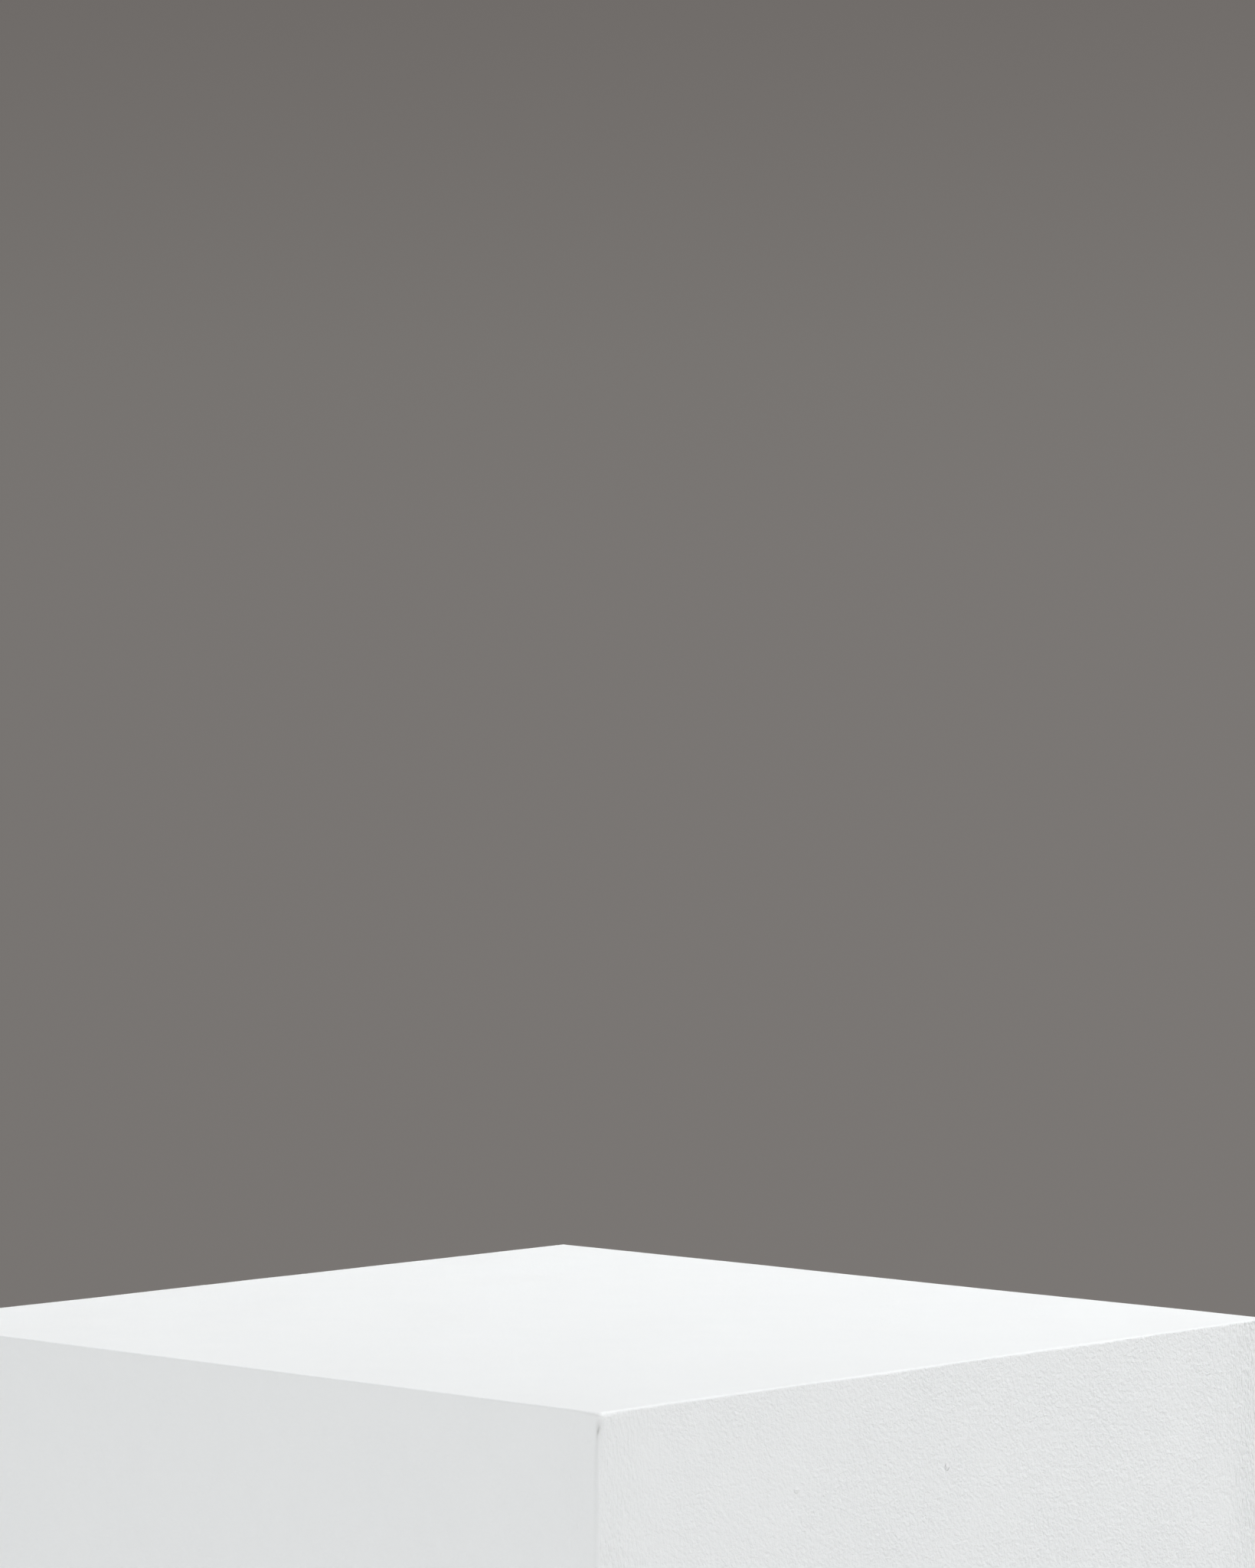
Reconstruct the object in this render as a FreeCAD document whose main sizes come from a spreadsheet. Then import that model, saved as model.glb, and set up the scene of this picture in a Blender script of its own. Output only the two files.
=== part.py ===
"""Display plinth: a painted, mitred MDF box on four hidden levelling feet.

Frame: millimetres, +Z up, origin on the floor under the middle of the plinth. The front face looks
along -Y. Each of the four sides is modelled as if it were the front and then turned about +Z, and it
owns the upright corner at its left end: the corner post, the biscuits in that mitre, and the foot.
"""
import FreeCAD, Part
import os
import Sketcher

X = FreeCAD.Vector(1, 0, 0)
Y = FreeCAD.Vector(0, 1, 0)
Z = FreeCAD.Vector(0, 0, 1)
ORIGIN_POINT = (-1, 1)
START, END, CENTRE = 1, 2, 3

# Driving dimensions, in millimetres. Counts have no unit.
SIZES = {
    # the box
    "plinth_width": 400,
    "plinth_depth": 400,
    "plinth_height": 1000,
    "panel_thickness": 18,
    "arris_radius": 1,
    "floor_gap": 12,
    # the frame inside
    "batten_width": 34,
    "base_thickness": 18,
    "base_clearance": 0.5,
    "hand_hole_diameter": 110,
    # biscuits in the mitres
    "biscuit_length": 56,
    "biscuit_width": 23,
    "biscuit_thickness": 4,
    "biscuit_nose": 8,
    "biscuit_setback": 5,
    "mitre_biscuit_count": 5,
    "mitre_biscuit_margin": 90,
    "top_biscuit_count": 2,
    "top_biscuit_margin": 110,
    # wood screws
    "screw_diameter": 4,
    "screw_head_diameter": 8,
    "screw_point": 4,
    "panel_bite": 11,
    "base_bite": 22,
    "post_screw_count": 4,
    "post_screw_margin": 120,
    "post_screw_stagger": 24,
    # levelling feet
    "pad_diameter": 36,
    "pad_thickness": 8,
    "pad_rim": 4,
    "pad_bevel": 1,
    "pad_boss_diameter": 18,
    "socket_depth": 5,
    "spigot_diameter": 8,
    "stud_diameter": 10,
    "stud_chamfer": 1,
    "running_gap": 0.05,
    "collar_flats": 17,
    "collar_height": 6,
    "collar_lift": 0.5,
    "stop_gap": 0.3,
    "tucked_gap": 2,
    "foot_edge_gap": 4,
    "tee_flange_diameter": 26,
    "tee_flange_thickness": 1.5,
    "tee_barrel_wall": 0.95,
    "tee_barrel_length": 13,
    "tee_prong_height": 7,
    "tee_prong_width": 4.5,
    "tee_prong_thickness": 1.2,
    "tee_prong_inset": 0.6,
}

# Levels and lengths worked out from the driving dimensions, as expressions on the sheet.
FOOT_TRAVEL = "(Sizes.floor_gap - Sizes.tucked_gap)"
COLLAR_TOP = "(Sizes.pad_thickness + Sizes.collar_lift + Sizes.collar_height)"
FLANGE_UNDERSIDE = f"({COLLAR_TOP} + {FOOT_TRAVEL} + Sizes.stop_gap)"
BASE_UNDERSIDE = f"({FLANGE_UNDERSIDE} + Sizes.tee_flange_thickness)"
BASE_TOP = f"({BASE_UNDERSIDE} + Sizes.base_thickness)"
BARREL_TOP = f"({BASE_UNDERSIDE} + Sizes.tee_barrel_length)"
CEILING = "(Sizes.plinth_height - Sizes.panel_thickness)"
BORE_RADIUS = "(Sizes.stud_diameter / 2 + Sizes.running_gap)"
BARREL_RADIUS = f"({BORE_RADIUS} + Sizes.tee_barrel_wall)"
FOOT_INSET = f"(Sizes.panel_thickness + Sizes.batten_width + Sizes.foot_edge_gap + {BARREL_RADIUS})"
BISCUIT_DEPTH = "(Sizes.panel_thickness - Sizes.biscuit_setback)"
PANEL_SCREW_LENGTH = "(Sizes.batten_width + Sizes.panel_bite)"
BASE_SCREW_LENGTH = "(Sizes.base_thickness + Sizes.base_bite)"
ARRIS_CUT = "(Sizes.arris_radius * (1 - sqrt(0.5)))"

doc = FreeCAD.newDocument("DisplayPlinth")
sheet = doc.addObject("Spreadsheet::Sheet", "Sizes")
for row, (alias, value) in enumerate(SIZES.items(), start=1):
    sheet.set(f"A{row}", alias)
    sheet.set(f"B{row}", str(value))
    sheet.setAlias(f"B{row}", alias)
doc.recompute()


class Side:
    """One side of the plinth, in a frame where that side is the front (its face looks along -Y)."""

    def __init__(self, name, corner, quarter_turns):
        self.name = name
        self.corner = corner
        self.turns = quarter_turns
        along, across = ("width", "depth") if quarter_turns % 2 == 0 else ("depth", "width")
        self.span = f"Sizes.plinth_{along}"
        self.reach = f"Sizes.plinth_{across}"
        # expressions for the places that the pieces of this side share
        self.face = f"(-{self.reach} / 2)"
        self.panel_back = f"({self.face} + Sizes.panel_thickness)"
        self.batten_back = f"({self.panel_back} + Sizes.batten_width)"
        self.batten_middle = f"({self.panel_back} + Sizes.batten_width / 2)"
        self.end = f"(-{self.span} / 2)"
        self.post_outer = f"({self.end} + Sizes.panel_thickness)"
        self.post_inner = f"({self.post_outer} + Sizes.batten_width)"
        self.post_middle = f"({self.post_outer} + Sizes.batten_width / 2)"
        self.rail_length = f"({self.span} - 2 * Sizes.panel_thickness - 2 * Sizes.batten_width)"

    def turn(self):
        return FreeCAD.Rotation(Z, 90 * self.turns)

    def to_plinth(self, x, y):
        """The plinth-frame expressions of a point given in this side's frame."""
        return [(x, y), (f"-({y})", x), (f"-({x})", f"-({y})"), (y, f"-({x})")][self.turns]


SIDES = [
    Side("front", "front_left", 0),
    Side("right", "front_right", 1),
    Side("back", "back_right", 2),
    Side("left", "back_left", 3),
]


def number(expression):
    """The present value of an expression, for a sketch's first geometry."""
    return float(sheet.evalExpression(expression))


def place(piece, side, where=("0", "0", "0"), x_axis=X, y_axis=Y):
    """Put a piece's own origin at a point of the side's frame, with its X and Y along two axes."""
    own_turn = FreeCAD.Rotation(x_axis, y_axis, x_axis.cross(y_axis), "XYZ")
    piece.Placement = FreeCAD.Placement(FreeCAD.Vector(), side.turn() * own_turn)
    east, north = side.to_plinth(where[0], where[1])
    for coordinate, expression in zip("xyz", (east, north, where[2])):
        piece.setExpression(f"Placement.Base.{coordinate}", expression)
    return piece


def new_body(label):
    body = doc.addObject("PartDesign::Body", label)
    body.Label = label
    return body


def origin_feature(body, role):
    return next(feature for feature in body.Origin.OriginFeatures if feature.Role == role)


def new_sketch(body, plane, name, lift=None):
    """A sketch on one of the body's origin planes, moved along the plane's normal by an expression."""
    sketch = body.newObject("Sketcher::SketchObject", f"{body.Label}_{name}")
    sketch.AttachmentSupport = [(origin_feature(body, plane), "")]
    sketch.MapMode = "FlatFace"
    if lift is not None:
        sketch.setExpression("AttachmentOffset.Base.z", lift)
    return sketch


def pin_point(sketch, edge, end, corner):
    """Tie one end of a sketch edge to its corner's two expressions."""
    for kind, expression in zip(("DistanceX", "DistanceY"), corner):
        constraint = Sketcher.Constraint(kind, *ORIGIN_POINT, edge, end, number(expression))
        index = sketch.addConstraint(constraint)
        sketch.setExpression(f"Constraints[{index}]", expression)


def arc_between(start, end, radius, turn):
    """A circular arc from start to end that turns left (turn = 1) or right (turn = -1)."""
    chord = end - start
    sagitta_side = Z.cross(chord).normalize() * turn
    centre = (start + end) / 2 + sagitta_side * (radius**2 - chord.Length**2 / 4) ** 0.5
    middle = centre - sagitta_side * radius
    return Part.Arc(start, middle, end)


def outline(sketch, corners, arcs=None):
    """A closed outline through corners, each a pair of expressions.

    arcs maps the number of a corner to (radius expression, turn) where the edge after it is round.
    """
    arcs = arcs or {}
    points = [FreeCAD.Vector(number(across), number(up), 0) for across, up in corners]
    ends = []
    for index, start in enumerate(points):
        finish = points[(index + 1) % len(points)]
        if index not in arcs:
            edge = sketch.addGeometry(Part.LineSegment(start, finish), False)
            ends.append((edge, START, END))
            continue
        radius, turn = arcs[index]
        edge = sketch.addGeometry(arc_between(start, finish, number(radius), turn), False)
        forward = sketch.getPoint(edge, START).isEqual(start, 1e-6)
        ends.append((edge, START, END) if forward else (edge, END, START))
        radius_index = sketch.addConstraint(Sketcher.Constraint("Radius", edge, number(radius)))
        sketch.setExpression(f"Constraints[{radius_index}]", radius)
    for index, (edge, first, _) in enumerate(ends):
        previous_edge, _, previous_last = ends[index - 1]
        joint = Sketcher.Constraint("Coincident", previous_edge, previous_last, edge, first)
        sketch.addConstraint(joint)
        pin_point(sketch, edge, first, corners[index])
    return sketch


def circle(sketch, centre, diameter):
    """A circle whose centre and diameter are expressions."""
    middle = FreeCAD.Vector(number(centre[0]), number(centre[1]), 0)
    edge = sketch.addGeometry(Part.Circle(middle, Z, number(diameter) / 2), False)
    pin_point(sketch, edge, CENTRE, centre)
    index = sketch.addConstraint(Sketcher.Constraint("Diameter", edge, number(diameter)))
    sketch.setExpression(f"Constraints[{index}]", diameter)


def pad(body, sketch, length, symmetric=False):
    feature = body.newObject("PartDesign::Pad", f"{sketch.Name}_pad")
    feature.Profile = sketch
    feature.setExpression("Length", length)
    feature.SideType = "Symmetric" if symmetric else "One side"
    body.Tip = feature
    return feature


def pocket(body, sketch, length, symmetric=False, backwards=False):
    """Cut a sketch's outline out of the body; refuses a cut that would remove nothing."""
    doc.recompute()
    volume_before = body.Shape.Volume
    feature = body.newObject("PartDesign::Pocket", f"{sketch.Name}_pocket")
    feature.Profile = sketch
    feature.setExpression("Length", length)
    feature.SideType = "Symmetric" if symmetric else "One side"
    feature.Reversed = backwards
    body.Tip = feature
    doc.recompute()
    if body.Shape.Volume > volume_before - 1:
        raise RuntimeError(f"{feature.Name} cuts nothing")
    return feature


def revolve(body, sketch):
    """Turn a half profile, drawn on XZ with its axis upright, right round the body's Z axis."""
    feature = body.newObject("PartDesign::Revolution", f"{sketch.Name}_turned")
    feature.Profile = sketch
    feature.ReferenceAxis = (origin_feature(body, "Z_Axis"), [""])
    feature.Angle = 360
    body.Tip = feature
    return feature


def grid(body, feature, first, second=None):
    """Repeat a feature in one or two directions, each given as (axis role, count, run)."""
    pattern = body.newObject("PartDesign::LinearPattern", f"{body.Label}_pattern")
    pattern.Originals = [feature]
    for suffix, direction in (("", first), ("2", second)):
        if direction is None:
            continue
        axis, count, run = direction
        setattr(pattern, f"Direction{suffix}", (origin_feature(body, axis), [""]))
        pattern.setExpression(f"Occurrences{suffix}", count)
        pattern.setExpression(f"Length{suffix}", run)
    body.Tip = pattern
    return pattern


def box_outline(sketch, low_x, low_y, high_x, high_y):
    return outline(sketch, [(low_x, low_y), (high_x, low_y), (high_x, high_y), (low_x, high_y)])


def group(label, pieces):
    """Separate solids that share one object."""
    compound = doc.addObject("Part::Compound", label)
    compound.Label = label
    compound.Links = pieces
    return compound


def drilled(label, blank, fixings):
    """A blank with a hole or slot of the exact shape of every fixing that enters it."""
    piece = doc.addObject("Part::Cut", label)
    piece.Label = label
    piece.Base = blank
    piece.Tool = group(f"{label}_fixings", fixings)
    return piece


# ---- fixings ----------------------------------------------------------------------------------

def screw_row(label, side, where, x_axis, y_axis, length, first, second=None):
    """Countersunk wood screws: the head's flat at the body's origin, the point along its +Z."""
    body = new_body(label)
    shank = "(Sizes.screw_diameter / 2)"
    head = "(Sizes.screw_head_diameter / 2)"
    profile = new_sketch(body, "XZ_Plane", "profile")
    outline(profile, [
        ("0", "0"),
        (head, "0"),
        (shank, f"{head} - {shank}"),
        (shank, f"{length} - Sizes.screw_point"),
        ("0", length),
    ])
    grid(body, revolve(body, profile), first, second)
    return place(body, side, where, x_axis, y_axis)


def biscuit_row(label, side, where, x_axis, y_axis, count, run):
    """Flat lens-shaped biscuits, long way along the body's Y, width along its X."""
    body = new_body(label)
    half_length = "(Sizes.biscuit_length / 2)"
    half_width = "(Sizes.biscuit_width / 2)"
    half_nose = "(Sizes.biscuit_nose / 2)"
    rise = f"({half_width} - {half_nose})"
    radius = f"(({half_length}^2 + {rise}^2) / (2 * {rise}))"
    lens = new_sketch(body, "XY_Plane", "lens")
    outline(lens, [
        (half_nose, f"-{half_length}"),
        (half_nose, half_length),
        (f"-{half_nose}", half_length),
        (f"-{half_nose}", f"-{half_length}"),
    ], {0: (radius, 1), 2: (radius, 1)})
    solid = pad(body, lens, "Sizes.biscuit_thickness", symmetric=True)
    grid(body, solid, ("Y_Axis", count, run))
    return place(body, side, where, x_axis, y_axis)


def mitre_biscuit_row(side):
    """Biscuits across the upright mitre at the side's left end."""
    run = f"({CEILING} - Sizes.floor_gap - 2 * Sizes.mitre_biscuit_margin)"
    lowest = "(Sizes.floor_gap + Sizes.mitre_biscuit_margin)"
    where = (f"({side.end} + {BISCUIT_DEPTH})", f"({side.face} + {BISCUIT_DEPTH})", lowest)
    across_mitre = (X - Y).normalize()
    return biscuit_row(f"mitre_biscuits_{side.corner}", side, where, across_mitre, Z,
                       "Sizes.mitre_biscuit_count", run)


def top_biscuit_row(side):
    """Biscuits across the mitre between the side's panel and the top."""
    run = f"({side.span} - 2 * Sizes.top_biscuit_margin)"
    where = (f"-{run} / 2", f"({side.face} + {BISCUIT_DEPTH})",
             f"(Sizes.plinth_height - {BISCUIT_DEPTH})")
    across_mitre = (Y + Z).normalize()
    return biscuit_row(f"top_biscuits_{side.name}", side, where, across_mitre, X,
                       "Sizes.top_biscuit_count", run)


def post_screw_rows(side):
    """Screws through the corner post: one row into the side's own panel, one into its neighbour."""
    run = (f"({CEILING} - {BASE_TOP} - 2 * Sizes.post_screw_margin"
           " - Sizes.post_screw_stagger)")
    lowest = f"({BASE_TOP} + Sizes.post_screw_margin)"
    upright = ("Y_Axis", "Sizes.post_screw_count", run)
    ahead = screw_row(f"post_screws_ahead_{side.corner}", side,
                      (side.post_middle, side.batten_back, lowest),
                      X, Z, PANEL_SCREW_LENGTH, upright)
    beside = screw_row(f"post_screws_beside_{side.corner}", side,
                       (side.post_inner, side.batten_middle,
                        f"({lowest} + Sizes.post_screw_stagger)"),
                       -Y, Z, PANEL_SCREW_LENGTH, upright)
    return ahead, beside


def rail_screw_rows(side):
    """Screws through the top and bottom rails into the side's panel."""
    run = f"({side.rail_length} * 2 / 3)"
    along = ("X_Axis", "2", run)
    rows = []
    for level, height in (("top", f"({CEILING} - Sizes.batten_width / 2)"),
                          ("bottom", f"({BASE_TOP} + Sizes.batten_width / 2)")):
        rows.append(screw_row(f"{level}_rail_screws_{side.name}", side,
                              (f"-{run} / 2", side.batten_back, height),
                              X, Z, PANEL_SCREW_LENGTH, along))
    return rows


def upward_screw_row(label, side, head_level, length):
    """Screws driven straight up along the middle of the side's rails."""
    run = f"({side.rail_length} / 3)"
    return screw_row(f"{label}_{side.name}", side, (f"-{run} / 2", side.batten_middle, head_level),
                     X, Y, length, ("X_Axis", "2", run))


# ---- panels and boards ------------------------------------------------------------------------

def side_panel_blank(side):
    """An upright panel, mitred at both ends and along its top, with its outer edges eased."""
    body = new_body(f"{side.name}_panel_blank")
    cut = ARRIS_CUT
    radius = "Sizes.arris_radius"
    plan = new_sketch(body, "XY_Plane", "plan", lift="Sizes.floor_gap")
    outline(plan, [
        (f"({side.end} + {cut})", f"({side.face} + {cut})"),
        (f"({side.end} + {radius})", side.face),
        (f"-({side.end} + {radius})", side.face),
        (f"-({side.end} + {cut})", f"({side.face} + {cut})"),
        (f"-{side.post_outer}", side.panel_back),
        (side.post_outer, side.panel_back),
    ], {0: (radius, 1), 2: (radius, 1)})
    pad(body, plan, "Sizes.plinth_height - Sizes.floor_gap")
    head = new_sketch(body, "YZ_Plane", "head")
    outline(head, [
        (side.face, f"(Sizes.plinth_height - {radius})"),
        (f"({side.face} + {cut})", f"(Sizes.plinth_height - {cut})"),
        (side.panel_back, CEILING),
        (side.panel_back, "Sizes.plinth_height"),
        (side.face, "Sizes.plinth_height"),
    ], {0: (radius, -1)})
    pocket(body, head, side.span, symmetric=True)
    return place(body, side)


def top_panel_blank():
    """The top, mitred and eased along all four edges."""
    front, right = SIDES[0], SIDES[1]
    body = new_body("top_panel_blank")
    plan = new_sketch(body, "XY_Plane", "plan", lift=CEILING)
    box_outline(plan, front.end, front.face, f"-{front.end}", f"-{front.face}")
    pad(body, plan, "Sizes.panel_thickness")
    radius = "Sizes.arris_radius"
    for plane, edge, length in (("YZ_Plane", front.face, front.span),
                                ("XZ_Plane", right.face, right.span)):
        for sign, name in (("", "low"), ("-", "high")):
            turn = 1 if sign else -1
            section = new_sketch(body, plane, f"{plane[:2]}_{name}")
            outline(section, [
                (f"{sign}({edge} + Sizes.panel_thickness)", CEILING),
                (f"{sign}({edge} + {ARRIS_CUT})", f"(Sizes.plinth_height - {ARRIS_CUT})"),
                (f"{sign}({edge} + {radius})", "Sizes.plinth_height"),
                (f"{sign}{edge}", "Sizes.plinth_height"),
                (f"{sign}{edge}", CEILING),
            ], {1: (radius, turn)})
            pocket(body, section, length, symmetric=True)
    return body


def base_board_blank():
    """The plywood board inside the skirt, with its hand hole and the four holes for the feet."""
    body = new_body("base_board_blank")
    half_width = "(Sizes.plinth_width / 2 - Sizes.panel_thickness - Sizes.base_clearance)"
    half_depth = "(Sizes.plinth_depth / 2 - Sizes.panel_thickness - Sizes.base_clearance)"
    plan = new_sketch(body, "XY_Plane", "plan", lift=BASE_UNDERSIDE)
    box_outline(plan, f"-{half_width}", f"-{half_depth}", half_width, half_depth)
    circle(plan, ("0", "0"), "Sizes.hand_hole_diameter")
    for side in SIDES:
        circle(plan, foot_centre(side), f"2 * {BARREL_RADIUS}")
    pad(body, plan, "Sizes.base_thickness")
    return body


def batten(label, side, low, high, lengthwise):
    """A square batten: an upright post from low to high, or a rail that fills low to high in Z."""
    body = new_body(label)
    section = new_sketch(body, "XY_Plane", "section", lift=low)
    ends = (side.post_outer, side.post_inner) if lengthwise else (side.post_inner, f"-{side.post_inner}")
    box_outline(section, ends[0], side.panel_back, ends[1], side.batten_back)
    pad(body, section, f"{high} - {low}")
    return place(body, side)


# ---- levelling feet ---------------------------------------------------------------------------

def foot_centre(side):
    """The foot's axis in the plinth's frame, at the side's left corner."""
    return side.to_plinth(f"({side.end} + {FOOT_INSET})", f"({side.face} + {FOOT_INSET})")


def stand_foot_piece(body, side):
    """Foot pieces are drawn round their own upright axis, with Z measured from the floor."""
    return place(body, side, (f"({side.end} + {FOOT_INSET})", f"({side.face} + {FOOT_INSET})", "0"))


def tee_nut(side):
    """A flange under the base board, a barrel up into it, and four prongs that grip the wood."""
    body = new_body(f"tee_nut_{side.corner}")
    flange = "(Sizes.tee_flange_diameter / 2)"
    profile = new_sketch(body, "XZ_Plane", "profile")
    outline(profile, [
        (BORE_RADIUS, FLANGE_UNDERSIDE),
        (flange, FLANGE_UNDERSIDE),
        (flange, BASE_UNDERSIDE),
        (BARREL_RADIUS, BASE_UNDERSIDE),
        (BARREL_RADIUS, BARREL_TOP),
        (BORE_RADIUS, BARREL_TOP),
    ])
    revolve(body, profile)
    prong_face = f"({flange} - Sizes.tee_prong_inset - Sizes.tee_prong_thickness)"
    tooth = new_sketch(body, "YZ_Plane", "prong", lift=prong_face)
    root = f"({BASE_UNDERSIDE} - Sizes.tee_flange_thickness / 2)"
    outline(tooth, [
        ("-Sizes.tee_prong_width / 2", root),
        ("Sizes.tee_prong_width / 2", root),
        ("0", f"({BASE_UNDERSIDE} + Sizes.tee_prong_height)"),
    ])
    prong = pad(body, tooth, "Sizes.tee_prong_thickness")
    ring = body.newObject("PartDesign::PolarPattern", f"{body.Label}_ring")
    ring.Originals = [prong]
    ring.Axis = (origin_feature(body, "Z_Axis"), [""])
    ring.Angle = 360
    ring.Occurrences = 4
    body.Tip = ring
    return stand_foot_piece(body, side)


def foot_stud(side):
    """A plain spigot in the pad, a hexagon collar for a spanner, and the stud in the tee nut."""
    body = new_body(f"foot_stud_{side.corner}")
    spigot = "(Sizes.spigot_diameter / 2)"
    stud = "(Sizes.stud_diameter / 2)"
    seat = "(Sizes.pad_thickness - Sizes.socket_depth)"
    tip = f"({BARREL_TOP} + Sizes.stud_chamfer)"
    profile = new_sketch(body, "XZ_Plane", "profile")
    outline(profile, [
        ("0", seat),
        (spigot, seat),
        (spigot, f"({COLLAR_TOP} - Sizes.collar_height / 2)"),
        (stud, f"({COLLAR_TOP} - Sizes.collar_height / 2)"),
        (stud, BARREL_TOP),
        (f"({stud} - Sizes.stud_chamfer)", tip),
        ("0", tip),
    ])
    revolve(body, profile)
    hexagon = new_sketch(body, "XY_Plane", "hexagon", lift="Sizes.pad_thickness + Sizes.collar_lift")
    corner_radius = "Sizes.collar_flats / sqrt(3)"
    outline(hexagon, [(f"({corner_radius} * cos({60 * k}))", f"({corner_radius} * sin({60 * k}))")
                      for k in range(6)])
    pad(body, hexagon, "Sizes.collar_height")
    return stand_foot_piece(body, side)


def foot_pad(side):
    """A round glide pad with a boss and a blind socket for the stud's spigot."""
    body = new_body(f"foot_pad_{side.corner}")
    rim = "(Sizes.pad_diameter / 2)"
    boss = "(Sizes.pad_boss_diameter / 2)"
    socket = "(Sizes.spigot_diameter / 2 + Sizes.running_gap)"
    seat = "(Sizes.pad_thickness - Sizes.socket_depth)"
    profile = new_sketch(body, "XZ_Plane", "profile")
    outline(profile, [
        ("0", "0"),
        (f"({rim} - Sizes.pad_bevel)", "0"),
        (rim, "Sizes.pad_bevel"),
        (rim, "Sizes.pad_rim"),
        (boss, "Sizes.pad_thickness"),
        (socket, "Sizes.pad_thickness"),
        (socket, seat),
        ("0", seat),
    ])
    revolve(body, profile)
    return stand_foot_piece(body, side)


# ---- assembly ---------------------------------------------------------------------------------

def build():
    """Every sub-part of the plinth, as a list of (object, number of solids it must have)."""
    mitre_biscuits = [mitre_biscuit_row(side) for side in SIDES]
    top_biscuits = [top_biscuit_row(side) for side in SIDES]
    post_screws = [post_screw_rows(side) for side in SIDES]
    rail_screws = [rail_screw_rows(side) for side in SIDES]
    top_screws = [upward_screw_row("top_screws", side, f"({CEILING} - Sizes.batten_width)",
                                   PANEL_SCREW_LENGTH) for side in SIDES]
    base_screws = [upward_screw_row("base_screws", side, BASE_UNDERSIDE, BASE_SCREW_LENGTH)
                   for side in SIDES]

    parts = []
    for index, side in enumerate(SIDES):
        following = (index + 1) % len(SIDES)
        ahead, beside = post_screws[index]
        top_rail_screws, bottom_rail_screws = rail_screws[index]
        parts.append((drilled(f"{side.name}_panel", side_panel_blank(side), [
            mitre_biscuits[index], mitre_biscuits[following], top_biscuits[index],
            ahead, post_screws[following][1], top_rail_screws, bottom_rail_screws,
        ]), 1))
        post = batten(f"corner_post_{side.corner}_blank", side, BASE_TOP, CEILING, True)
        parts.append((drilled(f"corner_post_{side.corner}", post, [ahead, beside]), 1))
        top_rail = batten(f"top_rail_{side.name}_blank", side,
                          f"({CEILING} - Sizes.batten_width)", CEILING, False)
        parts.append((drilled(f"top_rail_{side.name}", top_rail,
                              [top_rail_screws, top_screws[index]]), 1))
        bottom_rail = batten(f"bottom_rail_{side.name}_blank", side,
                             BASE_TOP, f"({BASE_TOP} + Sizes.batten_width)", False)
        parts.append((drilled(f"bottom_rail_{side.name}", bottom_rail,
                              [bottom_rail_screws, base_screws[index]]), 1))
        for make_piece in (tee_nut, foot_stud, foot_pad):
            parts.append((make_piece(side), 1))
    parts.append((drilled("top_panel", top_panel_blank(), top_biscuits + top_screws), 1))
    parts.append((drilled("base_board", base_board_blank(), base_screws), 1))

    sides = len(SIDES)
    both_post_rows = [row for rows in post_screws for row in rows]
    both_rail_rows = [row for rows in rail_screws for row in rows]
    parts.append((group("mitre_biscuits", mitre_biscuits), sides * SIZES["mitre_biscuit_count"]))
    parts.append((group("top_biscuits", top_biscuits), sides * SIZES["top_biscuit_count"]))
    parts.append((group("post_screws", both_post_rows), 2 * sides * SIZES["post_screw_count"]))
    parts.append((group("rail_screws", both_rail_rows), 4 * sides))
    parts.append((group("top_screws", top_screws), 2 * sides))
    parts.append((group("base_screws", base_screws), 2 * sides))
    return parts


def check_and_export(parts):
    """Write each sub-part to its own file, once nothing in the document has failed."""
    doc.recompute()
    for item in doc.Objects:
        if "Invalid" in item.State or "Error" in item.State:
            raise RuntimeError(f"{item.Name} failed to recompute")
    for part, solids in parts:
        shape = part.Shape
        if shape.isNull() or not shape.isValid():
            raise RuntimeError(f"{part.Label} has no valid shape")
        if len(shape.Solids) != solids:
            raise RuntimeError(f"{part.Label} has {len(shape.Solids)} solids, not {solids}")
    os.makedirs("parts", exist_ok=True)
    for part, _ in parts:
        part.Shape.exportStep(f"parts/{part.Label}.step")
        print(f"{part.Label}: {len(part.Shape.Solids)} solid(s), {part.Shape.Volume:.0f} mm3")


check_and_export(build())
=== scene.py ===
import math

import bpy
import numpy as np
from mathutils import Matrix, Vector


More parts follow.
